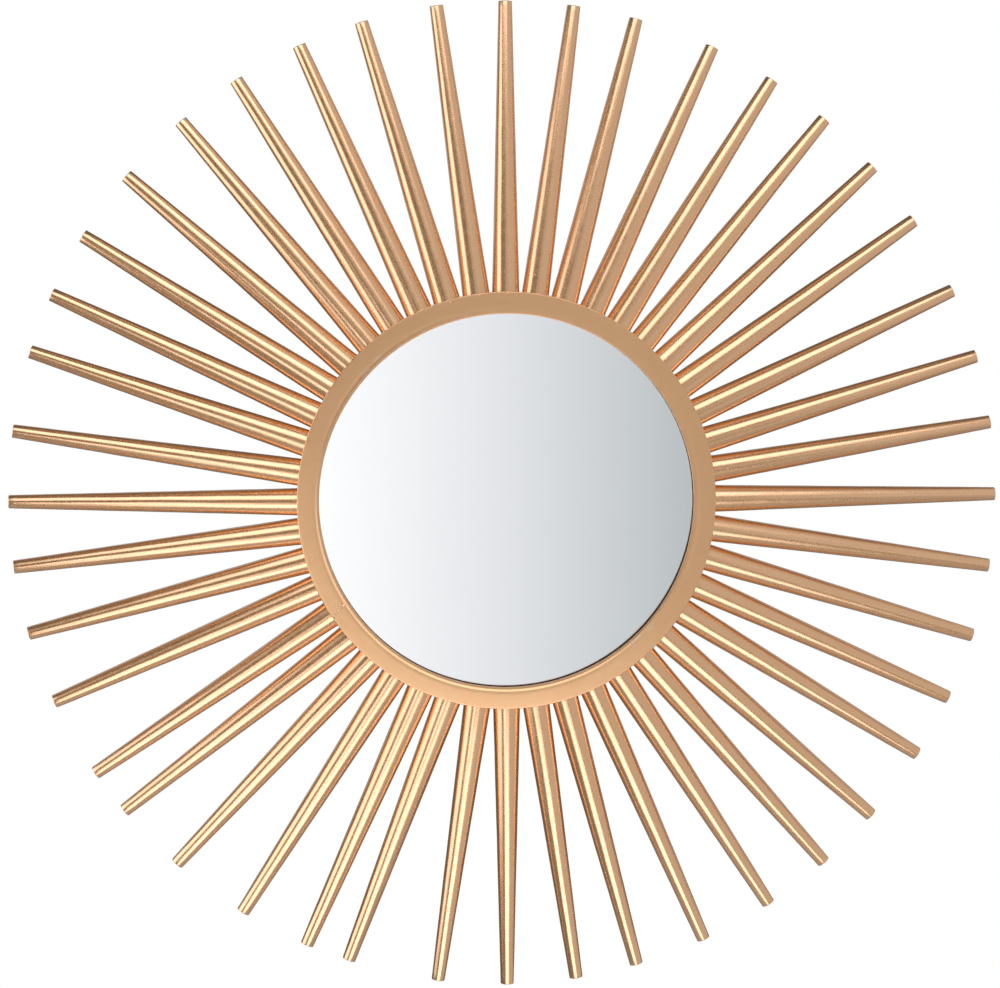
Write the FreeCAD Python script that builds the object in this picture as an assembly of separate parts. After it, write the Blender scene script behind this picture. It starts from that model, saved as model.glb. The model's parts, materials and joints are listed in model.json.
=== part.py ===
# Sunburst wall mirror: a round mirror in a pressed steel ring, with 44 tapered tube rays welded
# round a steel hoop behind the ring, and two D-ring hangers on the back panel.
#
# Frame: millimetres, +Z up, +X to the right of a person who faces the mirror, which faces -Y.
# The origin is the centre of the disc on the wall plane, Y = 0, where the hoop's rear rim rests.
# A "depth" is a distance out from the wall, so a point at depth d has Y = -d.

import FreeCAD
import Part

import math
import os

from FreeCAD import Vector

# ---- driving dimensions ----------------------------------------------------------------------

# Rays: tapered steel tubes
ray_count = 44
tip_radius = 368.5           # centre of the disc to the outermost point of a ray's end cap
ray_axis_depth = 12.7
ray_diameter_at_ring = 20.2  # where the ray comes out from behind the ring's edge
ray_taper = 0.0485           # diameter lost per millimetre of length
ray_wall = 0.7
ray_end_round = 0.4          # rounding of the tube's outer end edge
cap_thickness = 1.2
cap_dome = 0.3               # how far the cap bulges out of the tube
cap_play = 0.02              # gap between the cap's rim and the tube's bore
cap_group_count = 4          # the caps are exported in this many groups, clockwise from ray 1
weld_radius = 153.0          # a leaning ray turns about this point of its axis

# The rays are set by hand before welding, so most lean a little. Ray 1 is at twelve o'clock and the
# numbers go clockwise; a lean is in degrees at the weld, counter-clockwise positive, from the front.
ray_leans = {
    2: 0.5, 3: 2.0, 5: 0.5, 6: 1.5, 7: 2.0, 8: 2.5, 9: 0.5, 10: 0.5, 11: 1.0, 12: 0.5,
    14: -0.5, 16: 1.0, 17: -0.5, 20: -1.0, 21: -1.5, 25: -4.5, 26: 0.5, 28: -2.5,
    29: -3.5, 30: 1.0, 31: -1.5, 32: -2.0, 33: -1.5, 34: -0.5, 35: -0.5, 36: -2.5,
    37: -0.5, 38: 0.5, 40: -1.0, 41: -0.5, 42: -0.5, 43: 0.5, 44: -0.5,
}

# Front ring: a flat pressed face with a round outer edge, a shallow lip round the opening, and a
# flange that turns back from the lip to the glass
ring_radius = 155.8
ring_face_depth = 25.0       # the foremost plane of the whole object
ring_thickness = 2.0
ring_edge_round = 0.9
crease_radius = 142.6        # where the flat face turns down into the lip
crease_round = 0.8
opening_radius = 139.4       # the glass that shows
lip_drop = 0.9
lip_edge_round = 0.35
flange_thickness = 1.6
flange_gap = 0.03            # between the flange's foot and the glass

# Hoop: the band that carries the rays, the ring, the glass and the back panel
hoop_radius = 149.2
hoop_wall = 1.4

# Glass, cushion and back panel, stacked behind the lip
stack_radius = 146.3         # glass and back panel, with room for the tabs inside the hoop
glass_front_depth = 20.8
glass_thickness = 3.0
glass_arris = 0.3
cushion_outer_radius = 145.0
cushion_inner_radius = 118.0
cushion_thickness = 2.0
panel_thickness = 5.0
panel_arris = 0.5

# Bent steel tabs that hold the stack in the hoop
tab_count = 8
tab_width = 12.0
tab_thickness = 1.0
tab_reach = 10.8             # how far a tab's foot runs in over the panel
tab_bend_radius = 1.6
tab_leg_depth = 17.3         # depth that a tab's leg reaches down to between panel and hoop
first_tab_angle = 22.5

# D-ring hangers: a strap folded round the straight bar of a wire ring
hanger_x = 85.0              # middle of each hanger, left and right of the centre
hinge_z = 66.0               # height of the ring's bar
strap_width = 14.0
strap_thickness = 1.2        # of one layer: below the fold the two layers lie on each other
strap_length = 33.0          # from the bar down to the strap's end
strap_corner_round = 3.0
strap_return_deg = 50.0      # how far past the wall side the fold goes round the bar
wire_radius = 1.5
hinge_clearance = 0.06       # radial, between the bar and the fold
ring_bar_half = 9.0          # half the straight bar
ring_corner_radius = 3.0     # bend between the bar and the ring's arms, on the wire's centre line
ring_arm_length = 3.0        # straight part of each arm
ring_lean_deg = 2.8          # the upright ring leans on the panel by this much

# Hanger screws
screw_drops = (11.0, 26.0)   # below the bar
screw_hole_radius = 2.1
shank_radius = 1.75
shank_play = 0.02
head_radius = 3.5
head_height = 2.0
head_round = 1.2
recess_length = 4.2
recess_width = 0.9
recess_depth = 1.2
screw_bite = 4.4             # depth of shank in the panel

# ---- sizes that follow ------------------------------------------------------------------------

ray_pitch_deg = 360.0 / ray_count
tube_end_radius = tip_radius - cap_dome
glass_back_depth = glass_front_depth - glass_thickness
cushion_back_depth = glass_back_depth - cushion_thickness
panel_back_depth = cushion_back_depth - panel_thickness
ring_back_depth = ring_face_depth - ring_thickness
fold_radius = wire_radius + hinge_clearance          # inside of the fold round the bar
bar_height = strap_thickness + fold_radius           # bar's axis above the panel's rear face
arm_x = ring_bar_half + ring_corner_radius           # centre line of the ring's arms
strap_stack = 2.0 * strap_thickness

ORIGIN = Vector(0, 0, 0)
X_AXIS = Vector(1, 0, 0)
Y_AXIS = Vector(0, 1, 0)
Z_AXIS = Vector(0, 0, 1)


# ---- helpers ----------------------------------------------------------------------------------

def section(points):
    """A face in the XY plane from (radius, depth) points, to be turned about the Y axis."""
    corners = [Vector(radius, -depth, 0) for radius, depth in points]
    return Part.Face(Part.makePolygon(corners + corners[:1]))


def turned(points, sweep_deg=360.0):
    """A solid of revolution about the Y axis from (radius, depth) points."""
    return section(points).revolve(ORIGIN, Y_AXIS, sweep_deg)


def disc(radius, back_depth, front_depth):
    """A plain disc between two depths."""
    return Part.makeCylinder(radius, front_depth - back_depth, Vector(0, -back_depth, 0), -Y_AXIS)


def edges_at(shape, radius, depth):
    """The circular edges of a turned shape that pass through (radius, depth)."""
    found = []
    for edge in shape.Edges:
        curve = edge.Curve
        if not isinstance(curve, Part.Circle):
            continue
        near_depth = abs(curve.Center.y + depth) < 0.01
        if near_depth and abs(curve.Radius - radius) < 0.01:
            found.append(edge)
    return found


def export(shape, node):
    """Write one node, after a check that it is made of sound solids."""
    if not shape.isValid() or not shape.Solids:
        raise RuntimeError(node + " is not a valid solid")
    shape.exportStep("parts/" + node + ".step")


# ---- front ring and hoop ----------------------------------------------------------------------

def front_ring():
    """The pressed face ring: flat face, rounded outer edge, shallow lip, flange down to the glass."""
    lip_front = ring_face_depth - lip_drop
    foot = glass_front_depth + flange_gap
    flange_radius = opening_radius + flange_thickness
    ring = turned([
        (ring_radius, ring_back_depth),
        (ring_radius, ring_face_depth),
        (crease_radius, ring_face_depth),
        (opening_radius, lip_front),
        (opening_radius, foot),
        (flange_radius, foot),
        (flange_radius, ring_back_depth),
    ])
    for radius, depth, rounding in (
        (ring_radius, ring_face_depth, ring_edge_round),
        (ring_radius, ring_back_depth, ring_edge_round),
        (crease_radius, ring_face_depth, crease_round),
        (opening_radius, lip_front, lip_edge_round),
        (opening_radius, foot, lip_edge_round),
        (flange_radius, foot, lip_edge_round),
    ):
        ring = ring.makeFillet(rounding, edges_at(ring, radius, depth))
    return ring


def ring_hoop():
    """The steel band behind the ring. Its rear rim rests against the wall."""
    outside = disc(hoop_radius, 0, ring_back_depth)
    return outside.cut(disc(hoop_radius - hoop_wall, 0, ring_back_depth))


# ---- rays -------------------------------------------------------------------------------------

def ray_radius(distance):
    """Outer radius of a ray's tube at a distance from the centre of the disc."""
    return (ray_diameter_at_ring - ray_taper * (distance - ring_radius)) / 2.0


def ray_cone(start, end, shrink):
    """A cone inside a ray that points up, between two distances from the centre."""
    base = Vector(0, -ray_axis_depth, start)
    return Part.makeCone(
        ray_radius(start) - shrink, ray_radius(end) - shrink, end - start, base, Z_AXIS
    )


def straight_tube():
    """A ray's tube that points up, still whole at the hoop, with its outer end edge rounded."""
    start = hoop_radius - hoop_wall
    tube = ray_cone(start, tube_end_radius, 0).cut(ray_cone(start, tube_end_radius, ray_wall))
    outer_end = [
        edge for edge in tube.Edges
        if isinstance(edge.Curve, Part.Circle)
        and abs(edge.Curve.Center.z - tube_end_radius) < 0.01
        and abs(edge.Curve.Radius - ray_radius(tube_end_radius)) < 0.01
    ]
    return tube.makeFillet(ray_end_round, outer_end)


def end_cap():
    """The domed plug in the end of a ray that points up."""
    start = tube_end_radius - cap_thickness
    plug = ray_cone(start, tube_end_radius, ray_wall + cap_play)
    rim = ray_radius(tube_end_radius) - ray_wall - cap_play
    dome_radius = (rim ** 2 + cap_dome ** 2) / (2.0 * cap_dome)
    centre = Vector(0, -ray_axis_depth, tube_end_radius + cap_dome - dome_radius)
    ball = Part.makeSphere(dome_radius, centre)
    above = Part.makeCylinder(rim, cap_dome, Vector(0, -ray_axis_depth, tube_end_radius), Z_AXIS)
    return plug.fuse(above.common(ball)).removeSplitter()


def place_ray(shape, number):
    """Lean a ray about its weld and turn it to its place on the clock face."""
    placed = shape.copy()
    weld = Vector(0, -ray_axis_depth, weld_radius)
    placed.rotate(weld, Y_AXIS, -ray_leans.get(number, 0.0))
    placed.rotate(ORIGIN, Y_AXIS, (number - 1) * ray_pitch_deg)
    return placed


def rays():
    """Each ray's tube, its root cut to sit on the hoop, by node name."""
    tube = straight_tube()
    hoop_block = disc(hoop_radius, -hoop_wall, ring_face_depth)
    nodes = {}
    for number in range(1, ray_count + 1):
        nodes["ray_%02d" % number] = place_ray(tube, number).cut(hoop_block)
    return nodes


def ray_tip_caps():
    """The end caps, one solid each, in as many node groups as cap_group_count."""
    cap = end_cap()
    group_size = ray_count // cap_group_count
    nodes = {}
    for group in range(cap_group_count):
        first = group * group_size + 1
        caps = [place_ray(cap, number) for number in range(first, first + group_size)]
        nodes["ray_tip_caps_%d" % (group + 1)] = Part.makeCompound(caps)
    return nodes


# ---- glass, cushion, panel and tabs -----------------------------------------------------------

def mirror_glass():
    """The silvered glass, with ground arrises."""
    glass = disc(stack_radius, glass_back_depth, glass_front_depth)
    rims = edges_at(glass, stack_radius, glass_back_depth)
    rims += edges_at(glass, stack_radius, glass_front_depth)
    return glass.makeChamfer(glass_arris, rims)


def foam_cushion():
    """The foam ring that presses the glass against the lip."""
    outside = disc(cushion_outer_radius, cushion_back_depth, glass_back_depth)
    return outside.cut(disc(cushion_inner_radius, cushion_back_depth, glass_back_depth))


def back_panel():
    """The hardboard panel, drilled part way for the hanger screws."""
    panel = disc(stack_radius, panel_back_depth, cushion_back_depth)
    panel = panel.makeChamfer(panel_arris, edges_at(panel, stack_radius, panel_back_depth))
    holes = [
        Part.makeCylinder(shank_radius, screw_bite, seat, -Y_AXIS)
        for seat in screw_places(panel_back_depth)
    ]
    return panel.cut(holes)


def panel_tabs():
    """Steel tabs welded inside the hoop, their feet bent in over the panel."""
    inside = hoop_radius - hoop_wall
    foot_top = panel_back_depth - tab_thickness
    profile = section([
        (inside, tab_leg_depth),
        (inside, foot_top),
        (inside - tab_reach, foot_top),
        (inside - tab_reach, panel_back_depth),
        (inside - tab_thickness, panel_back_depth),
        (inside - tab_thickness, tab_leg_depth),
    ])
    sweep = math.degrees(tab_width / inside)
    tab = profile.revolve(ORIGIN, Y_AXIS, sweep)
    tab = tab.makeFillet(tab_bend_radius, edges_at(tab, inside, foot_top))
    inner_bend = edges_at(tab, inside - tab_thickness, panel_back_depth)
    tab = tab.makeFillet(tab_bend_radius - tab_thickness, inner_bend)
    tabs = []
    for step in range(tab_count):
        one = tab.copy()
        one.rotate(ORIGIN, Y_AXIS, first_tab_angle - sweep / 2.0 + step * 360.0 / tab_count)
        tabs.append(one)
    return Part.makeCompound(tabs)


# ---- hangers ----------------------------------------------------------------------------------

def screw_places(depth):
    """Where the screw axes meet a plane at this depth, left hanger first."""
    return [
        Vector(side * hanger_x, -depth, hinge_z - drop)
        for side in (-1, 1)
        for drop in screw_drops
    ]


def strap_layer(bottom_height, top_z):
    """One flat layer of a strap, from top_z down to its rounded end."""
    layer = Part.makeBox(
        strap_width, strap_thickness, top_z + strap_length,
        Vector(-strap_width / 2.0, bottom_height, -strap_length),
    )
    end_corners = [
        edge for edge in layer.Edges
        if abs(edge.CenterOfMass.z + strap_length) < 0.01
        and abs(abs(edge.CenterOfMass.x) - strap_width / 2.0) < 0.01
    ]
    return layer.makeFillet(strap_corner_round, end_corners)


def hanger_strap():
    """A strap folded round the bar, with the bar's axis on X and the panel's face at Y = 0."""
    axis = Vector(-strap_width / 2.0, bar_height, 0)
    outer = Part.makeCylinder(bar_height, strap_width, axis, X_AXIS, 180.0 + strap_return_deg)
    inner = Part.makeCylinder(fold_radius, strap_width, axis, X_AXIS)
    # The open part of the fold faces down and to the panel.
    outer.rotate(Vector(0, bar_height, 0), X_AXIS, fold_start_turn(outer))
    fold = outer.cut(inner)

    # The return runs from the fold in to the upper layer, which lies on the lower one.
    middle = fold_radius + strap_thickness / 2.0
    leave = math.radians(strap_return_deg)
    start = Vector(0, bar_height + middle * math.cos(leave), -middle * math.sin(leave))
    upper_middle = 1.5 * strap_thickness
    run = (start.y - upper_middle) / math.sin(leave)
    heading = Vector(0, -math.sin(leave), -math.cos(leave))
    end = start + heading * run
    side = Vector(0, math.cos(leave), -math.sin(leave)) * (strap_thickness / 2.0)
    corners = [start + side, end + side, end - side, start - side]
    strip = Part.Face(Part.makePolygon(corners + corners[:1]))
    strip.translate(Vector(-strap_width / 2.0, 0, 0))
    strip = strip.extrude(X_AXIS * strap_width)
    knuckle = Part.makeCylinder(
        strap_thickness / 2.0, strap_width, end - X_AXIS * (strap_width / 2.0), X_AXIS
    )

    lower = strap_layer(0, 0)
    upper = strap_layer(strap_thickness, end.z)
    strap = fold.fuse([strip, knuckle, lower, upper]).removeSplitter()
    holes = [
        Part.makeCylinder(screw_hole_radius, strap_stack, Vector(0, 0, -drop), Y_AXIS)
        for drop in screw_drops
    ]
    return strap.cut(holes)


def fold_start_turn(part_turn):
    """The turn about X that brings a part-turn cylinder's gap to face down and to the panel."""
    centre = part_turn.CenterOfMass
    now = math.degrees(math.atan2(centre.z, centre.y - bar_height))
    middle_of_fold = 180.0 - (180.0 + strap_return_deg) / 2.0
    return middle_of_fold - now


def wire_bend(centre, start, sweep_deg):
    """A bend of the ring's wire in the XZ plane, from a start point about a centre."""
    spoke = start - centre
    tangent = Y_AXIS.cross(spoke)
    profile = Part.Face(Part.Wire(Part.makeCircle(wire_radius, start, tangent)))
    return profile.revolve(centre, Y_AXIS, sweep_deg)


def d_ring():
    """A wire D-ring that stands up from its straight bar, whose axis is X."""
    arm_top = ring_corner_radius + ring_arm_length
    pieces = [
        Part.makeCylinder(wire_radius, 2.0 * ring_bar_half, Vector(-ring_bar_half, 0, 0), X_AXIS),
        wire_bend(Vector(0, 0, arm_top), Vector(-arm_x, 0, arm_top), 180.0),
    ]
    for side in (-1, 1):
        arm_foot = Vector(side * arm_x, 0, ring_corner_radius)
        pieces.append(Part.makeCylinder(wire_radius, ring_arm_length, arm_foot, Z_AXIS))
        corner = Vector(side * ring_bar_half, 0, ring_corner_radius)
        pieces.append(wire_bend(corner, arm_foot, side * 90.0))
    ring = pieces[0].fuse(pieces[1:]).removeSplitter()
    ring.rotate(ORIGIN, X_AXIS, ring_lean_deg)
    return ring


def hanger_screw():
    """A pan-head screw with a cross recess: axis on Y, the head's underside at Y = 0."""
    head = Part.makeCylinder(head_radius, head_height, ORIGIN, Y_AXIS)
    crown = [edge for edge in head.Edges if abs(edge.CenterOfMass.y - head_height) < 0.01]
    head = head.makeFillet(head_round, crown)
    floor = head_height - recess_depth
    half_length = recess_length / 2.0
    half_width = recess_width / 2.0
    slots = [
        Part.makeBox(recess_length, recess_depth, recess_width, Vector(-half_length, floor, -half_width)),
        Part.makeBox(recess_width, recess_depth, recess_length, Vector(-half_width, floor, -half_length)),
    ]
    length = strap_stack + screw_bite - shank_play
    shank = Part.makeCylinder(shank_radius - shank_play, length, ORIGIN, -Y_AXIS)
    return head.cut(slots).fuse(shank).removeSplitter()


def moved(shape, place):
    """A copy of a shape, shifted."""
    copy = shape.copy()
    copy.translate(place)
    return copy


# ---- all nodes --------------------------------------------------------------------------------

def build_nodes():
    """Every node of the mirror, by name."""
    nodes = {
        "front_ring": front_ring(),
        "ring_hoop": ring_hoop(),
        "mirror_glass": mirror_glass(),
        "foam_cushion": foam_cushion(),
        "back_panel": back_panel(),
        "panel_tabs": panel_tabs(),
    }
    nodes.update(rays())
    nodes.update(ray_tip_caps())
    strap = hanger_strap()
    ring = d_ring()
    for side, name in ((-1, "left"), (1, "right")):
        foot = Vector(side * hanger_x, -panel_back_depth, hinge_z)
        nodes[name + "_hanger_strap"] = moved(strap, foot)
        nodes[name + "_d_ring"] = moved(ring, foot + Y_AXIS * bar_height)
    screw = hanger_screw()
    seats = screw_places(panel_back_depth - strap_stack)
    nodes["hanger_screws"] = Part.makeCompound([moved(screw, seat) for seat in seats])
    return nodes


os.makedirs("parts", exist_ok=True)
for node_name, node_shape in build_nodes().items():
    export(node_shape, node_name)
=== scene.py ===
import json
import math
from collections import Counter

import bmesh
import bpy
from mathutils import Matrix, Quaternion, Vector, noise

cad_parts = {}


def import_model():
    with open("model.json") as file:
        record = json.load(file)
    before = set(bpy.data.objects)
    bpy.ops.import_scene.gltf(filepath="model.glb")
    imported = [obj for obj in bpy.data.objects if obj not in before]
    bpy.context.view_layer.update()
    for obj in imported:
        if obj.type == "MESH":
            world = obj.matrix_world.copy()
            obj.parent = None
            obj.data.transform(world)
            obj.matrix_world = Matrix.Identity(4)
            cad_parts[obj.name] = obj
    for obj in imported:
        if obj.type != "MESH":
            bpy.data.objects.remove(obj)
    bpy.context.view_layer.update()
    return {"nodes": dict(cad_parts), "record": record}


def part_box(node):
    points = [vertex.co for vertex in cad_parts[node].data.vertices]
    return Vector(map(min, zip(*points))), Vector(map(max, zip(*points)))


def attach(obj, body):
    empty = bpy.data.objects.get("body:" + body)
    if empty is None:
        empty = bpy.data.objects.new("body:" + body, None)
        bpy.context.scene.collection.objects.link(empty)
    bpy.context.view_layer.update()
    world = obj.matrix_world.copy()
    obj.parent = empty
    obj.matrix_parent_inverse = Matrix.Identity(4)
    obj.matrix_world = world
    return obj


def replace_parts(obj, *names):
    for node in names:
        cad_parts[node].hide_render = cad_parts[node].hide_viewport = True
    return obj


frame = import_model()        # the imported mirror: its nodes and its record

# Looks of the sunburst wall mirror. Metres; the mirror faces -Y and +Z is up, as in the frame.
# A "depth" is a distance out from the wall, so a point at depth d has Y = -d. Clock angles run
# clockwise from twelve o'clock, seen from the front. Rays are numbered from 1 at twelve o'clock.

MM = 0.001
BODY = "mirror_body"
FRONT = Vector((0, -1, 0))

# ---- sizes -----------------------------------------------------------------------------------

# Rays
RAY_COLUMNS = 56             # mesh points round a tube
RAY_ROWS = 56                # mesh rows along a tube
RAY_WALL = 0.7 * MM
RAY_END_ROUND = 0.45 * MM
RAY_DENT = 0.10 * MM         # how far the hand-rolled tube wanders from a true cone
RAY_DENT_PITCH = 22 * MM
RAY_DENT_ROUND = 1.1         # how fast the dents change round the tube
RAY_DENT_SHIFT = 7.3         # moves each ray to its own stretch of the dents
ROOT_ROUNDS = 5              # rounds of the search for a ray's meeting with the hoop
ROUND_STEPS = 6              # mesh steps in a rounded edge

# Welds between the rays and the hoop
WELD_RADIUS = 1.2 * MM
WELD_LUMP = 0.35 * MM
WELD_LUMP_PITCH = 4 * MM
WELD_RIPPLE = 0.3            # share of the regular ripple in the lumps
WELD_RIPPLE_RUN = 6          # mesh columns in one ripple
WELD_COLUMNS = 96
WELD_ROWS = 10

# Front ring's section, from its outer edge in to the glass
RING_THICKNESS = 2.0 * MM
RING_EDGE_ROUND = 0.6 * MM
FACE_DOME = 0.06 * MM        # how far the pressed face falls away at its outer edge
DOME_STEPS = 9
CREASE_RADIUS = 142.6 * MM
CREASE_DEPTH = 0.14 * MM
CREASE_ROUND = 0.5 * MM
BEAD_RADIUS = 140.9 * MM     # the lip is pressed into a shallow bead
BEAD_ROUND = 1.5 * MM
LIP_DROP = 0.24 * MM         # from the bead's top to the lip's inner edge
GOLD_WALL_DROP = 2.9 * MM      # how far down the inner wall the gold spray reaches; below it the wall gets near-black painted shade
LIP_EDGE_ROUND = 0.2 * MM
FLANGE_THICKNESS = 1.6 * MM
FOOT_ROUND = 0.3 * MM
RING_COLUMNS = 480
RING_WARP = 0.05 * MM        # the sheet's slow unevenness
RING_WARP_PITCH = 28 * MM
LONGEST_RUN = 1.6 * MM       # longest mesh step across the ring's face
BLACK_SHADE_RUN = 3.0 * MM     # how far out behind the flange the ring's back is bare of gold and gets near-black painted shade

# Hoop
HOOP_RIM_ROUND = 0.45 * MM
HOOP_COLUMNS = 240
HOOP_RUN = 2 * MM            # longest mesh step across the band

# Glass and cushion
SILVER_BEHIND = 0.06 * MM    # thickness of the silvering and its paint, behind the glass
SILVER_INSIDE = 0.02 * MM    # how far it reaches into the glass, so that no gap shows
SILVER_INSET = 0.4 * MM      # how far its edge stays inside the glass's edge
SILVER_COLUMNS = 180
FOAM_ROUND = 0.5 * MM
FOAM_COLUMNS = 120

# Camera: angles in degrees, distance and aim in metres, lens and sensor in millimetres
CAMERA_AZIMUTH = -3.36
CAMERA_ELEVATION = 5.81
CAMERA_DISTANCE = 2.258
CAMERA_AIM = Vector((-0.0046, -0.0127, 0.0046))
CAMERA_ROLL = -0.13
CAMERA_LENS = 109.0
SENSOR_WIDTH = 36.0

# Studio, in metres
# Soft boxes: name, distance, angle from straight in front, direction in the mirror's plane (0 to
# the right, 90 up), half the width and half the height, radiance
SOFTBOXES = (
    ("top", 1.0, 43, 98, 0.47, 0.30, 1.78),
    ("left", 1.0, 73, 180, 0.46, 0.50, 1.55),
    ("low", 1.0, 35, 266, 0.34, 0.22, 2.18),
    ("low_left", 1.0, 26, 212, 0.12, 0.15, 2.05),
    ("right", 1.0, 68, 12, 1.10, 1.60, 0.42),
    ("centre", 2.8, 8, 10, 0.60, 0.65, 0.275),
    ("back_left", 1.2, 140, 152, 0.50, 0.60, 0.32),
    ("back_right", 1.2, 142, 22, 0.50, 0.60, 0.28),
)
SOFTBOX_COLOUR = (1.0, 0.98, 1.05)
FILL_COLOUR = (1.0, 0.86, 0.76, 1.0)
FILL_STRENGTH = 0.15
FLOOR_DROP = 1.0             # floor below the mirror's centre
FLOOR_RADIUS = 1.4
FLOOR_COLUMNS = 96
CARD_PLACE = Vector((0.157, -2.6, -0.270))
CARD_RADIUS = 0.308
CARD_COLUMNS = 64
CARD_LEFT = (1.06, 1.06, 1.06, 1.0)
CARD_MIDDLE = (0.80, 0.81, 0.84, 1.0)
CARD_RIGHT = (0.505, 0.54, 0.545, 1.0)

# Paint nibs
NIB_DIVISIONS = 3            # how finely a nib's ball is divided
NIB_SWELL = 0.35             # how uneven a nib is
NIB_SWELL_PITCH = 1.3
RAY_NIB_SEED = 50            # keeps the rays' nibs unlike the ring's
# On the ring: clock angle in degrees, radius, size across, height, in millimetres
RING_NIBS = (
    (-15.6, 153.7, 1.6, 0.85), (-7.3, 154.6, 2.2, 1), (0.4, 154.6, 1.8, 0.85),
    (239.8, 148.7, 1.3, 0.4), (238.2, 147.2, 2.1, 0.7), (237.9, 143.6, 2.7, 0.85),
    (238.6, 145.1, 1.5, 0.5), (237.4, 148.2, 1.7, 0.7), (237.0, 151.4, 1.3, 0.4),
    (236.9, 152.7, 1.4, 0.5), (236.5, 154.6, 1.9, 0.7), (237.5, 145.9, 1.3, 0.4),
    (192.0, 153.9, 0.9, 0.4), (61.0, 149.0, 0.7, 0.35), (312.0, 146.5, 0.8, 0.35),
)
# On rays: ray number, distance from the centre, offset across the ray, size, height, in millimetres
RAY_NIBS = (
    (1, 167.0, 0.4, 1.1, 0.6), (1, 170.5, -1.6, 0.7, 0.35), (2, 169.4, -2.9, 1.2, 0.6),
    (2, 167.8, 1.8, 1.0, 0.5), (11, 166.5, 0.8, 1.6, 0.7), (19, 172.0, -2.0, 0.8, 0.4),
    (29, 168.0, 1.5, 0.9, 0.5), (36, 175.0, -1.0, 0.8, 0.4), (42, 170.0, 2.2, 0.9, 0.4),
)

scene = bpy.context.scene


# ---- mesh helpers ----------------------------------------------------------------------------

def tidy_normals(mesh):
    """Make a closed mesh's faces look outwards."""
    work = bmesh.new()
    work.from_mesh(mesh)
    bmesh.ops.recalc_face_normals(work, faces=work.faces)
    work.to_mesh(mesh)
    work.free()


def piece(name, points, faces, material, sharp_deg=50.0):
    """A mesh piece of the mirror, smooth but for edges sharper than sharp_deg."""
    mesh = bpy.data.meshes.new(name)
    mesh.from_pydata(points, [], faces)
    tidy_normals(mesh)
    mesh.polygons.foreach_set("use_smooth", [True] * len(mesh.polygons))
    mesh.set_sharp_from_angle(angle=math.radians(sharp_deg))
    mesh.materials.append(material)
    made = bpy.data.objects.new(name, mesh)
    scene.collection.objects.link(made)
    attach(made, BODY)
    return made


def inner_radius(node):
    """The radius of the hole through a CAD node, about the mirror's axis."""
    return min(math.hypot(vertex.co.x, vertex.co.z) for vertex in frame["nodes"][node].data.vertices)


def wrapped_faces(rows, columns, first=0):
    """Quads over a grid of points that closes on itself both ways."""
    faces = []
    for row in range(rows):
        here = first + row * columns
        there = first + (row + 1) % rows * columns
        for column in range(columns):
            beside = (column + 1) % columns
            faces.append((here + column, here + beside, there + beside, there + column))
    return faces


def rounded_outline(corners):
    """Points round a closed outline of (x, y, rounding) corners."""
    points = []
    count = len(corners)
    for index, (x, y, rounding) in enumerate(corners):
        corner = Vector((x, y))
        if not rounding:
            points.append(corner)
            continue
        to_last = (Vector(corners[index - 1][:2]) - corner).normalized()
        to_next = (Vector(corners[(index + 1) % count][:2]) - corner).normalized()
        half = to_last.angle(to_next) / 2
        centre = corner + (to_last + to_next).normalized() * (rounding / math.sin(half))
        start = corner + to_last * (rounding / math.tan(half)) - centre
        end = corner + to_next * (rounding / math.tan(half)) - centre
        for step in range(ROUND_STEPS + 1):
            spoke = start.lerp(end, step / ROUND_STEPS)
            points.append(centre + spoke.normalized() * rounding)
    return points


def divided(outline, longest):
    """The outline with points added so that no run is longer than longest."""
    points = []
    for index, point in enumerate(outline):
        after = outline[(index + 1) % len(outline)]
        parts = max(1, math.ceil((after - point).length / longest))
        points += [point.lerp(after, part / parts) for part in range(parts)]
    return points


def turned(outline, columns, warp=0.0, pitch=1.0):
    """Points and faces of a closed (radius, depth) outline turned about the Y axis."""
    points = []
    for radius, depth in outline:
        for column in range(columns):
            turn = math.tau * column / columns
            place = Vector((radius * math.sin(turn), -depth, radius * math.cos(turn)))
            if warp:
                flat = Vector((place.x, 0, place.z)) / pitch
                place.y += warp * noise.noise(flat)
            points.append(place)
    return points, wrapped_faces(len(outline), columns)


# ---- material helpers ------------------------------------------------------------------------

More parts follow.
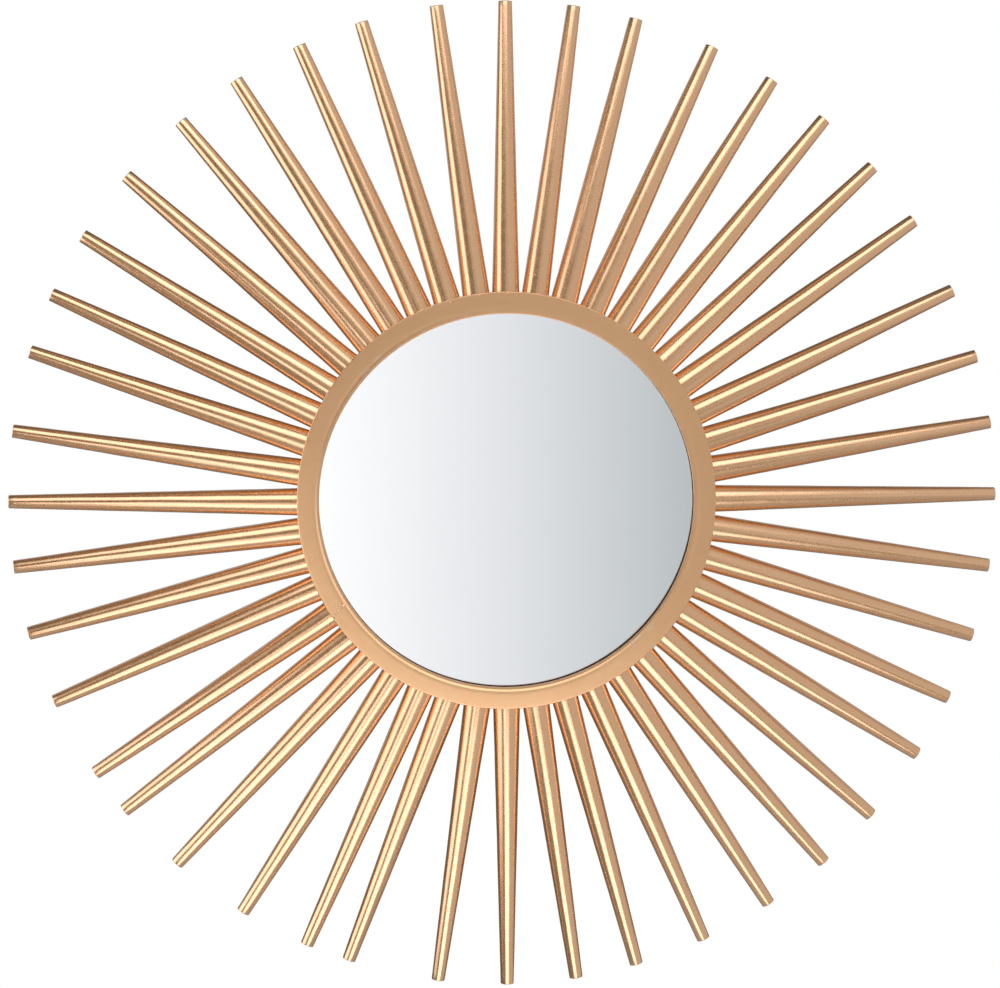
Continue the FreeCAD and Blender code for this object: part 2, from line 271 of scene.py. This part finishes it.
class Finish:
    """A node material on a Principled shader, in object coordinates (metres)."""

    EDGE_SAMPLES = 4

    def __init__(self, name):
        self.material = bpy.data.materials.new(name)
        self.material.use_nodes = True
        self.nodes = self.material.node_tree.nodes
        self.links = self.material.node_tree.links
        self.shader = self.nodes["Principled BSDF"]
        self.place = self.nodes.new("ShaderNodeTexCoord").outputs["Object"]

    def set(self, **values):
        """Uniform values on the shader's own sockets, underscores for spaces."""
        for socket, value in values.items():
            self.shader.inputs[socket.replace("_", " ")].default_value = value

    def join(self, start, node, socket):
        """A link from an output to a node's named input."""
        self.links.new(start, node.inputs[socket])

    def stretched(self, scale):
        """Object coordinates scaled by a different factor along each axis."""
        node = self.nodes.new("ShaderNodeMapping")
        node.inputs["Scale"].default_value = scale
        self.join(self.place, node, "Vector")
        return node.outputs["Vector"]

    def noise(self, size, detail=3.0, roughness=0.55, place=None):
        """Noise whose patches are about size metres across."""
        node = self.nodes.new("ShaderNodeTexNoise")
        node.inputs["Scale"].default_value = 1.0 / size
        node.inputs["Detail"].default_value = detail
        node.inputs["Roughness"].default_value = roughness
        self.join(place or self.place, node, "Vector")
        return node.outputs["Fac"]

    def levels(self, value, low, high, out_low, out_high):
        """The value with low to high turned into out_low to out_high, and held there beyond."""
        node = self.nodes.new("ShaderNodeMapRange")
        for socket, number in (
            ("From Min", low), ("From Max", high), ("To Min", out_low), ("To Max", out_high),
        ):
            node.inputs[socket].default_value = number
        self.join(value, node, "Value")
        return node.outputs["Result"]

    def maths(self, operation, first, second):
        """A sum or product of two outputs, or of an output and a number."""
        node = self.nodes.new("ShaderNodeMath")
        node.operation = operation
        for index, value in enumerate((first, second)):
            if isinstance(value, float):
                node.inputs[index].default_value = value
            else:
                self.links.new(value, node.inputs[index])
        return node.outputs["Value"]

    def mixed(self, share, first, second):
        """Colour between two colours or colour outputs."""
        node = self.nodes.new("ShaderNodeMix")
        node.data_type = "RGBA"
        self.links.new(share, node.inputs[0])
        for index, colour in ((6, first), (7, second)):
            if isinstance(colour, tuple):
                node.inputs[index].default_value = (*colour, 1.0)
            else:
                self.links.new(colour, node.inputs[index])
        return node.outputs[2]

    def colour(self, value):
        """Drive the base colour from an output."""
        self.join(value, self.shader, "Base Color")

    def rough(self, value):
        """Drive the roughness from an output."""
        self.join(value, self.shader, "Roughness")

    def bump(self, height, distance, strength=1.0, normal=None):
        """Relief of distance metres, laid over an earlier bump's normal where one is given."""
        node = self.nodes.new("ShaderNodeBump")
        node.inputs["Strength"].default_value = strength
        node.inputs["Distance"].default_value = distance
        self.join(height, node, "Height")
        if normal is not None:
            self.join(normal, node, "Normal")
        self.join(node.outputs["Normal"], self.shader, "Normal")
        return node.outputs["Normal"]

    def edges(self, low, high):
        """0 in the open and 1 on convex edges, from the mesh's pointiness."""
        node = self.nodes.new("ShaderNodeNewGeometry")
        return self.levels(node.outputs["Pointiness"], low, high, 0.0, 1.0)

    def near_edges(self, radius):
        """0 in the open and 1 within radius of an edge, on any mesh."""
        bevel = self.nodes.new("ShaderNodeBevel")
        bevel.samples = self.EDGE_SAMPLES
        bevel.inputs["Radius"].default_value = radius
        plain = self.nodes.new("ShaderNodeNewGeometry")
        dot = self.nodes.new("ShaderNodeVectorMath")
        dot.operation = "DOT_PRODUCT"
        self.links.new(bevel.outputs["Normal"], dot.inputs[0])
        self.links.new(plain.outputs["Normal"], dot.inputs[1])
        return self.levels(dot.outputs["Value"], 0.99, 0.8, 0.0, 1.0)


# ---- materials -------------------------------------------------------------------------------

def gold_spray(name, smooth, dull, coat, coat_ior):
    """Gold spray under a clear coat: slow patches, fine mottle, paler where it is worn at edges."""
    paint = Finish(name)
    paint.set(Metallic=1.0, Coat_Weight=1.0, Coat_Roughness=coat, Coat_IOR=coat_ior)
    patches = paint.noise(0.035, detail=2.0)
    mottle = paint.noise(0.005, detail=2.0, roughness=0.5)
    grain = paint.noise(0.0008, detail=1.0)
    base = paint.mixed(
        paint.levels(patches, 0.3, 0.7, 0.0, 1.0), (0.93, 0.55, 0.262), (0.95, 0.575, 0.282)
    )
    base = paint.mixed(paint.levels(mottle, 0.35, 0.75, 0.0, 0.2), base, (0.94, 0.60, 0.32))
    base = paint.mixed(paint.edges(0.52, 0.62), base, (0.92, 0.66, 0.42))
    paint.colour(base)
    paint.rough(paint.levels(mottle, 0.25, 0.75, smooth, dull))
    soft = paint.bump(mottle, 0.003 * MM, 0.4)
    paint.bump(grain, 0.0006 * MM, 0.3, normal=soft)
    return paint.material


def gold_paint():
    """Satin gold, as on the rays."""
    return gold_spray("gold_paint", 0.25, 0.30, 0.18, 1.9)


def ring_paint():
    """The duller gold of the pressed ring."""
    return gold_spray("ring_paint", 0.30, 0.35, 0.27, 1.5)


def painted_shade():
    """Near-black painted shade low on the ring's inner wall, where the gold spray does not reach: it
    stands in for the shadowed gap at the glass edge.
    """
    dull = Finish("black_painted_shade")
    dull.set(Specular_IOR_Level=0.3)
    dust = dull.noise(0.003, detail=4.0)
    dull.colour(dull.mixed(dust, (0.006, 0.006, 0.006), (0.014, 0.013, 0.012)))
    dull.rough(dull.levels(dust, 0.3, 0.7, 0.55, 0.75))
    dull.bump(dust, 0.03 * MM, 0.5)
    return dull.material


def clear_glass():
    """Float glass with its slight waviness."""
    glass = Finish("clear_glass")
    glass.set(Base_Color=(0.988, 0.994, 0.993, 1.0), Transmission_Weight=1.0, IOR=1.52, Roughness=0.0)
    glass.bump(glass.noise(0.05, detail=1.0), 0.0015 * MM)
    return glass.material


def silvering():
    """The mirror's silver, seen through the glass."""
    silver = Finish("silvering")
    silver.set(Metallic=1.0, Roughness=0.0)
    cloud = silver.noise(0.03, detail=2.0)
    silver.colour(silver.mixed(cloud, (0.95, 0.953, 0.958), (0.965, 0.968, 0.972)))
    return silver.material


def foam():
    """Black closed-cell foam."""
    soft = Finish("foam")
    soft.set(Specular_IOR_Level=0.25)
    cells = soft.nodes.new("ShaderNodeTexVoronoi")
    cells.inputs["Scale"].default_value = 1 / (0.9 * MM)
    soft.join(soft.place, cells, "Vector")
    distance = cells.outputs["Distance"]
    soft.colour(soft.mixed(distance, (0.012, 0.012, 0.013), (0.035, 0.035, 0.037)))
    soft.rough(soft.levels(distance, 0.0, 1.0, 0.8, 0.95))
    soft.bump(distance, 0.3 * MM, 0.7)
    return soft.material


def hardboard():
    """Brown medium-density fibreboard: fine fibres, a few dark flecks, bare edges."""
    board = Finish("hardboard")
    board.set(Specular_IOR_Level=0.3)
    fibres = board.noise(0.0009, detail=5.0, roughness=0.7, place=board.stretched((0.35, 1.0, 1.0)))
    crossed = board.noise(0.0012, detail=4.0, roughness=0.7, place=board.stretched((1.0, 1.0, 0.3)))
    clouds = board.noise(0.05, detail=3.0)
    flecks = board.noise(0.0021, detail=1.0, place=board.stretched((0.5, 1.0, 1.0)))
    base = board.mixed(
        board.levels(fibres, 0.3, 0.7, 0.0, 1.0), (0.27, 0.165, 0.088), (0.40, 0.265, 0.155)
    )
    base = board.mixed(board.levels(crossed, 0.35, 0.75, 0.0, 0.6), base, (0.46, 0.32, 0.20))
    base = board.mixed(board.levels(clouds, 0.35, 0.7, 0.0, 0.35), base, (0.23, 0.14, 0.075))
    base = board.mixed(board.levels(flecks, 0.66, 0.74, 0.0, 0.7), base, (0.09, 0.05, 0.03))
    base = board.mixed(board.near_edges(0.7 * MM), base, (0.50, 0.37, 0.24))
    board.colour(base)
    board.rough(board.levels(crossed, 0.3, 0.7, 0.62, 0.80))
    board.bump(fibres, 0.12 * MM, 0.6)
    return board.material


def plated(name, dark, light, low_rough, high_rough, brushed, worn):
    """Plated steel: clouded plating with fine marks along one way, rubbed bright at its edges."""
    metal = Finish(name)
    metal.set(Metallic=1.0)
    clouds = metal.noise(0.006, detail=4.0, roughness=0.6)
    marks = metal.noise(0.0004, detail=3.0, place=metal.stretched(brushed))
    base = metal.mixed(metal.levels(clouds, 0.3, 0.7, 0.0, 1.0), dark, light)
    base = metal.mixed(metal.near_edges(0.4 * MM), base, worn)
    metal.colour(base)
    streaks = metal.maths("ADD", clouds, metal.maths("MULTIPLY", marks, 0.6))
    metal.rough(metal.levels(streaks, 0.5, 1.1, low_rough, high_rough))
    metal.bump(marks, 0.01 * MM, 0.6)
    return metal.material


def zinc_plate():
    """The hanger straps' zinc, brushed along their length."""
    return plated(
        "zinc_plate", (0.50, 0.50, 0.47), (0.66, 0.66, 0.63), 0.28, 0.48, (0.12, 1.0, 1.0),
        (0.78, 0.78, 0.76),
    )


def nickel_wire():
    """The D-rings' bright nickel."""
    return plated(
        "nickel_wire", (0.56, 0.54, 0.50), (0.66, 0.64, 0.60), 0.12, 0.26, (1.0, 1.0, 1.0),
        (0.72, 0.70, 0.67),
    )


def zinc_screw():
    """The screws' zinc, between the two in gloss."""
    return plated(
        "zinc_screw", (0.46, 0.46, 0.44), (0.62, 0.62, 0.60), 0.22, 0.40, (1.0, 1.0, 1.0),
        (0.74, 0.74, 0.72),
    )


MATERIALS = {
    "gold_paint": gold_paint(),
    "mirror": clear_glass(),
    "foam": foam(),
    "hardboard": hardboard(),
    "zinc_plate": zinc_plate(),
    "nickel_wire": nickel_wire(),
    "zinc_screw": zinc_screw(),
}


def paint_cad_nodes():
    """Give every CAD node the material of its slot in the record."""
    for subpart in frame["record"]["subparts"]:
        node = frame["nodes"][subpart["node"]]
        for holder in node.material_slots:
            holder.material = MATERIALS[subpart["material_slot"]]


# ---- rays ------------------------------------------------------------------------------------

hoop_low, hoop_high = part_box("ring_hoop")
HOOP_RADIUS = hoop_high.x
RAY_NODES = [name for name in sorted(frame["nodes"]) if name.startswith("ray_") and "cap" not in name]


class Ray:
    """A ray's line and taper, measured on its CAD tube."""

    END_ZONE = 1.0 * MM      # how near its outer end a face or point belongs to the end
    RIM_ZONE = 0.01 * MM     # the same, for points in the plane of the end

    def __init__(self, node):
        mesh = frame["nodes"][node].data
        points = [vertex.co.copy() for vertex in mesh.vertices]
        reach = max(math.hypot(point.x, point.z) for point in points)
        facing = Counter()
        for face in mesh.polygons:
            if math.hypot(face.center.x, face.center.z) > reach - self.END_ZONE:
                facing[tuple(round(part, 4) for part in face.normal)] += face.area
        self.out = Vector(max(facing, key=facing.get)).normalized()
        self.side = Vector((self.out.z, 0, -self.out.x))
        far = max(point.dot(self.out) for point in points)
        rim = [point for point in points if point.dot(self.out) > far - self.RIM_ZONE]
        across = [point.dot(self.side) for point in rim]
        depths = [point.y for point in rim]
        self.end_reach = far
        self.foot = self.side * ((min(across) + max(across)) / 2)
        self.foot.y = (min(depths) + max(depths)) / 2
        self.number = int(node.split("_")[1])
        wide = max(points, key=self.off_axis)
        end_points = [point for point in points if point.dot(self.out) > far - self.END_ZONE]
        narrow = max(end_points, key=self.off_axis)
        run = narrow.dot(self.out) - wide.dot(self.out)
        self.taper = (self.off_axis(wide) - self.off_axis(narrow)) / run
        self.end_radius = self.off_axis(narrow) - self.taper * (far - narrow.dot(self.out))

    def off_axis(self, point):
        """How far a point is from the ray's axis."""
        away = point - self.foot
        return (away - self.out * away.dot(self.out)).length

    def radius(self, reach):
        """The tube's outer radius at a distance along its axis."""
        return self.end_radius + self.taper * (self.end_reach - reach)

    def spoke(self, turn):
        """The way out from the axis at an angle round the ray: 0 is the side, a quarter the front."""
        return self.side * math.cos(turn) + FRONT * math.sin(turn)

    def skin(self, reach, turn, inset=0.0):
        """A point on the tube, or inset into it."""
        return self.foot + self.out * reach + self.spoke(turn) * (self.radius(reach) - inset)

    def root_reach(self, turn, inset=0.0):
        """How far out along the axis the tube meets the hoop, at an angle round the ray."""
        reach = HOOP_RADIUS
        for _ in range(ROOT_ROUNDS):
            point = self.skin(reach, turn, inset)
            reach += HOOP_RADIUS - math.hypot(point.x, point.z)
        return reach

    def dent(self, reach, turn):
        """The hand-rolled tube's departure from a true cone."""
        along = reach / RAY_DENT_PITCH + RAY_DENT_SHIFT * self.number
        seat = Vector((RAY_DENT_ROUND * math.cos(turn), RAY_DENT_ROUND * math.sin(turn), along))
        return RAY_DENT * noise.noise(seat)


RAYS = [Ray(node) for node in RAY_NODES]


def ray_tube(ray, node):
    """A ray's tube: root shaped to the hoop, rounded outer end, hollow."""
    turns = [math.tau * column / RAY_COLUMNS for column in range(RAY_COLUMNS)]
    roots = [ray.root_reach(turn) for turn in turns]
    straight_end = ray.end_reach - RAY_END_ROUND
    points = []
    for row in range(RAY_ROWS):
        share = row / (RAY_ROWS - 1)
        for turn, root in zip(turns, roots):
            reach = root + (straight_end - root) * share
            points.append(ray.skin(reach, turn, -ray.dent(reach, turn)))
    for step in range(1, ROUND_STEPS + 1):
        bend = math.pi / 2 * step / ROUND_STEPS
        reach = straight_end + RAY_END_ROUND * math.sin(bend)
        inset = RAY_END_ROUND * (1 - math.cos(bend))
        points += [ray.skin(reach, turn, inset - ray.dent(reach, turn)) for turn in turns]
    points += [ray.skin(ray.end_reach, turn, RAY_WALL) for turn in turns]
    points += [ray.skin(ray.root_reach(turn, RAY_WALL), turn, RAY_WALL) for turn in turns]
    rows = len(points) // RAY_COLUMNS
    made = piece(node + "_tube", points, wrapped_faces(rows, RAY_COLUMNS), gold, 70.0)
    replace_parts(made, node)


def ray_welds():
    """A lumpy weld bead round the root of every ray."""
    points = []
    faces = []
    for ray in RAYS:
        first = len(points)
        for column in range(WELD_COLUMNS):
            turn = math.tau * column / WELD_COLUMNS
            seat = ray.skin(ray.root_reach(turn), turn)
            ripple = math.sin(column * math.tau / WELD_RIPPLE_RUN + ray.number)
            lump = noise.noise(seat / WELD_LUMP_PITCH) + WELD_RIPPLE * ripple
            width = WELD_RADIUS + WELD_LUMP * lump
            for row in range(WELD_ROWS):
                bend = math.tau * row / WELD_ROWS
                round_bead = ray.spoke(turn) * math.cos(bend) + ray.out * math.sin(bend)
                points.append(seat + round_bead * width)
        faces += wrapped_faces(WELD_COLUMNS, WELD_ROWS, first)
    piece("ray_welds", points, faces, gold)


# ---- ring, hoop, glass and cushion -----------------------------------------------------------

def front_ring():
    """The pressed front ring: face, rounded edge, crease, beaded lip and the flange behind it."""
    low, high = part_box("front_ring")
    outer = high.x
    front = -low.y
    foot = -high.y
    back = front - RING_THICKNESS
    opening = inner_radius("front_ring")
    dome = []
    for step in range(1, DOME_STEPS):
        share = step / DOME_STEPS
        radius = outer + (CREASE_RADIUS - outer) * share
        dome.append((radius, front - FACE_DOME * (1 - share) ** 2, 0))
    flange = opening + FLANGE_THICKNESS
    gold_to = front - LIP_DROP - GOLD_WALL_DROP
    outline = rounded_outline([
        (outer, back, RING_EDGE_ROUND),
        (outer, front - FACE_DOME, RING_EDGE_ROUND),
        *dome,
        (CREASE_RADIUS, front - CREASE_DEPTH, CREASE_ROUND),
        (BEAD_RADIUS, front, BEAD_ROUND),
        (opening, front - LIP_DROP, LIP_EDGE_ROUND),
        (opening, gold_to, 0),
        (opening, foot, FOOT_ROUND),
        (flange, foot, FOOT_ROUND),
        (flange, back, 0),
    ])
    points, faces = turned(divided(outline, LONGEST_RUN), RING_COLUMNS, RING_WARP, RING_WARP_PITCH)
    made = piece("front_ring_face", points, faces, ring_paint())
    # Second slot: near-black painted shade on the inner wall below the gold and on the ring's back by
    # the flange, standing in for the shadowed gap at the glass edge.
    made.data.materials.append(painted_shade())
    for face in made.data.polygons:
        under = math.hypot(face.center.x, face.center.z) < flange + BLACK_SHADE_RUN
        if under and -face.center.y < gold_to:
            face.material_index = 1
    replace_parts(made, "front_ring")


def hoop():
    """The steel band behind the ring, with its edges broken."""
    inside = inner_radius("ring_hoop")
    outline = rounded_outline([
        (HOOP_RADIUS, -hoop_high.y, HOOP_RIM_ROUND),
        (HOOP_RADIUS, -hoop_low.y, HOOP_RIM_ROUND),
        (inside, -hoop_low.y, HOOP_RIM_ROUND),
        (inside, -hoop_high.y, HOOP_RIM_ROUND),
    ])
    points, faces = turned(divided(outline, HOOP_RUN), HOOP_COLUMNS)
    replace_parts(piece("hoop_band", points, faces, gold), "ring_hoop")


def silver_layer():
    """The silvering and its backing paint: a thin closed disc at the back of the glass."""
    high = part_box("mirror_glass")[1]
    radius = high.x - SILVER_INSET
    front = -high.y + SILVER_INSIDE
    back = -high.y - SILVER_BEHIND
    points = []
    for depth in (front, back):
        for column in range(SILVER_COLUMNS):
            turn = math.tau * column / SILVER_COLUMNS
            points.append((radius * math.sin(turn), -depth, radius * math.cos(turn)))
    faces = [tuple(range(SILVER_COLUMNS)), tuple(range(SILVER_COLUMNS, 2 * SILVER_COLUMNS))]
    for column in range(SILVER_COLUMNS):
        beside = (column + 1) % SILVER_COLUMNS
        faces.append((column, beside, SILVER_COLUMNS + beside, SILVER_COLUMNS + column))
    piece("silver_layer", points, faces, silvering())


def foam_ring():
    """The foam ring, its edges squeezed round."""
    low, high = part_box("foam_cushion")
    outer = high.x
    inner = inner_radius("foam_cushion")
    outline = rounded_outline([
        (outer, -high.y, FOAM_ROUND), (outer, -low.y, FOAM_ROUND),
        (inner, -low.y, FOAM_ROUND), (inner, -high.y, FOAM_ROUND),
    ])
    points, faces = turned(outline, FOAM_COLUMNS)
    made = piece("foam_ring", points, faces, MATERIALS["foam"])
    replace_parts(made, "foam_cushion")


# ---- paint nibs ------------------------------------------------------------------------------

def nib(work, place, normal, size, height, seed):
    """One low uneven blob of paint on a surface."""
    upright = normal.to_track_quat("Z", "Y").to_matrix().to_4x4()
    seat = Matrix.Translation(place) @ upright
    ball = bmesh.ops.create_icosphere(work, subdivisions=NIB_DIVISIONS, radius=1.0)
    for vertex in ball["verts"]:
        swell = 1 + NIB_SWELL * noise.noise(vertex.co * NIB_SWELL_PITCH + Vector((seed, 0, 0)))
        local = Vector((vertex.co.x * size / 2, vertex.co.y * size / 2, vertex.co.z * height))
        vertex.co = seat @ (local * swell)


def paint_nibs():
    """Small runs and dust nibs in the paint of the ring and the rays."""
    work = bmesh.new()
    front = -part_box("front_ring")[0].y
    for seed, (clock, radius, size, height) in enumerate(RING_NIBS):
        turn = math.radians(clock)
        place = Vector((radius * MM * math.sin(turn), -front, radius * MM * math.cos(turn)))
        nib(work, place, FRONT, size * MM, height * MM, seed)
    for seed, (number, distance, offset, size, height) in enumerate(RAY_NIBS):
        ray = RAYS[number - 1]
        turn = math.acos(offset * MM / ray.radius(distance * MM))
        place = ray.skin(distance * MM, turn)
        nib(work, place, ray.spoke(turn), size * MM, height * MM, RAY_NIB_SEED + seed)
    mesh = bpy.data.meshes.new("paint_nibs")
    work.to_mesh(mesh)
    work.free()
    mesh.polygons.foreach_set("use_smooth", [True] * len(mesh.polygons))
    mesh.materials.append(gold)
    made = bpy.data.objects.new("paint_nibs", mesh)
    scene.collection.objects.link(made)
    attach(made, BODY)


# ---- studio ----------------------------------------------------------------------------------

def softbox(name, distance, off_front, round_front, half_width, half_height, radiance):
    """A soft light that faces the mirror's centre."""
    tilt = math.radians(off_front)
    way = math.radians(round_front)
    toward = Vector((math.sin(tilt) * math.cos(way), -math.cos(tilt), math.sin(tilt) * math.sin(way)))
    width_way = toward.cross(Vector((0, 0, 1))).normalized()
    height_way = toward.cross(width_way)
    data = bpy.data.lights.new(name, "AREA")
    data.shape = "RECTANGLE"
    data.size = 2 * half_width
    data.size_y = 2 * half_height
    data.energy = radiance * math.pi * data.size * data.size_y      # a flat light's power
    data.color = SOFTBOX_COLOUR
    lamp = bpy.data.objects.new(name, data)
    scene.collection.objects.link(lamp)
    lamp.matrix_world = Matrix.Translation(toward * distance) @ Matrix(
        (width_way, height_way, toward)
    ).transposed().to_4x4()
    lamp.visible_camera = False


def lights():
    """Bright soft boxes round the mirror's front, dim ones on the right and ahead, and two behind it."""
    for name, *box in SOFTBOXES:
        softbox("softbox_" + name, *box)


def world():
    """White where the camera looks past the mirror, and a dim even fill for everything else."""
    room = bpy.data.worlds.new("studio")
    scene.world = room
    room.use_nodes = True
    nodes = room.node_tree.nodes
    links = room.node_tree.links
    fill = nodes["Background"]
    fill.inputs["Color"].default_value = FILL_COLOUR
    fill.inputs["Strength"].default_value = FILL_STRENGTH
    white = nodes.new("ShaderNodeBackground")
    white.inputs["Strength"].default_value = 1.0
    white.inputs["Color"].default_value = (1.0, 1.0, 1.0, 1.0)
    path = nodes.new("ShaderNodeLightPath")
    choose = nodes.new("ShaderNodeMixShader")
    links.new(path.outputs["Is Camera Ray"], choose.inputs["Fac"])
    links.new(fill.outputs["Background"], choose.inputs[1])
    links.new(white.outputs["Background"], choose.inputs[2])
    links.new(choose.outputs["Shader"], nodes["World Output"].inputs["Surface"])


def disc(name, radius, columns, up):
    """The mesh of a flat disc round its own origin, from the X axis round to the up axis."""
    rim = []
    for column in range(columns):
        turn = math.tau * column / columns
        rim.append(Vector((1, 0, 0)) * radius * math.cos(turn) + up * radius * math.sin(turn))
    mesh = bpy.data.meshes.new(name)
    mesh.from_pydata(rim, [], [tuple(range(columns))])
    return mesh


def emission_card():
    """A round glowing card that the glass reflects: behind the camera, to its right and below it."""
    mesh = disc("reflected_card", CARD_RADIUS, CARD_COLUMNS, Vector((0, 0, 1)))
    material = bpy.data.materials.new("reflected_card")
    material.use_nodes = True
    nodes = material.node_tree.nodes
    links = material.node_tree.links
    nodes.remove(nodes["Principled BSDF"])
    place = nodes.new("ShaderNodeTexCoord")
    parts = nodes.new("ShaderNodeSeparateXYZ")
    links.new(place.outputs["Object"], parts.inputs["Vector"])
    share = nodes.new("ShaderNodeMapRange")
    share.inputs["From Min"].default_value = -CARD_RADIUS
    share.inputs["From Max"].default_value = CARD_RADIUS
    links.new(parts.outputs["X"], share.inputs["Value"])
    ramp = nodes.new("ShaderNodeValToRGB")
    ramp.color_ramp.elements[0].color = CARD_LEFT
    ramp.color_ramp.elements[1].color = CARD_RIGHT
    ramp.color_ramp.elements.new(0.5).color = CARD_MIDDLE
    links.new(share.outputs["Result"], ramp.inputs["Fac"])
    glow = nodes.new("ShaderNodeEmission")
    links.new(ramp.outputs["Color"], glow.inputs["Color"])
    links.new(glow.outputs["Emission"], nodes["Material Output"].inputs["Surface"])
    mesh.materials.append(material)
    card = bpy.data.objects.new("reflected_card", mesh)
    scene.collection.objects.link(card)
    card.location = CARD_PLACE
    card.visible_camera = False
    card.visible_shadow = False


def floor():
    """A plain pale floor under the mirror."""
    mesh = disc("floor", FLOOR_RADIUS, FLOOR_COLUMNS, Vector((0, 1, 0)))
    pale = Finish("pale_floor")
    pale.set(Specular_IOR_Level=0.2)
    cloud = pale.noise(0.4, detail=2.0)
    pale.colour(pale.mixed(cloud, (0.78, 0.78, 0.77), (0.82, 0.82, 0.81)))
    pale.rough(pale.levels(cloud, 0.0, 1.0, 0.7, 0.8))
    mesh.materials.append(pale.material)
    made = bpy.data.objects.new("floor", mesh)
    scene.collection.objects.link(made)
    made.location = (0, 0, -FLOOR_DROP)


def camera():
    """The camera, a little to the left of the mirror and above it."""
    azimuth = math.radians(CAMERA_AZIMUTH)
    elevation = math.radians(CAMERA_ELEVATION)
    back = Vector((
        math.sin(azimuth) * math.cos(elevation),
        -math.cos(azimuth) * math.cos(elevation),
        math.sin(elevation),
    ))
    data = bpy.data.cameras.new("camera")
    data.lens = CAMERA_LENS
    data.sensor_width = SENSOR_WIDTH
    made = bpy.data.objects.new("camera", data)
    scene.collection.objects.link(made)
    made.location = CAMERA_AIM + back * CAMERA_DISTANCE
    made.rotation_mode = "QUATERNION"
    level = (-back).to_track_quat("-Z", "Y")
    made.rotation_quaternion = level @ Quaternion((0, 0, 1), math.radians(CAMERA_ROLL))
    scene.camera = made


# ---- all of it -------------------------------------------------------------------------------

gold = MATERIALS["gold_paint"]
paint_cad_nodes()
for ray, ray_node in zip(RAYS, RAY_NODES):
    ray_tube(ray, ray_node)
ray_welds()
front_ring()
hoop()
silver_layer()
foam_ring()
paint_nibs()
floor()
emission_card()
lights()
world()
camera()
scene.view_settings.view_transform = "Standard"
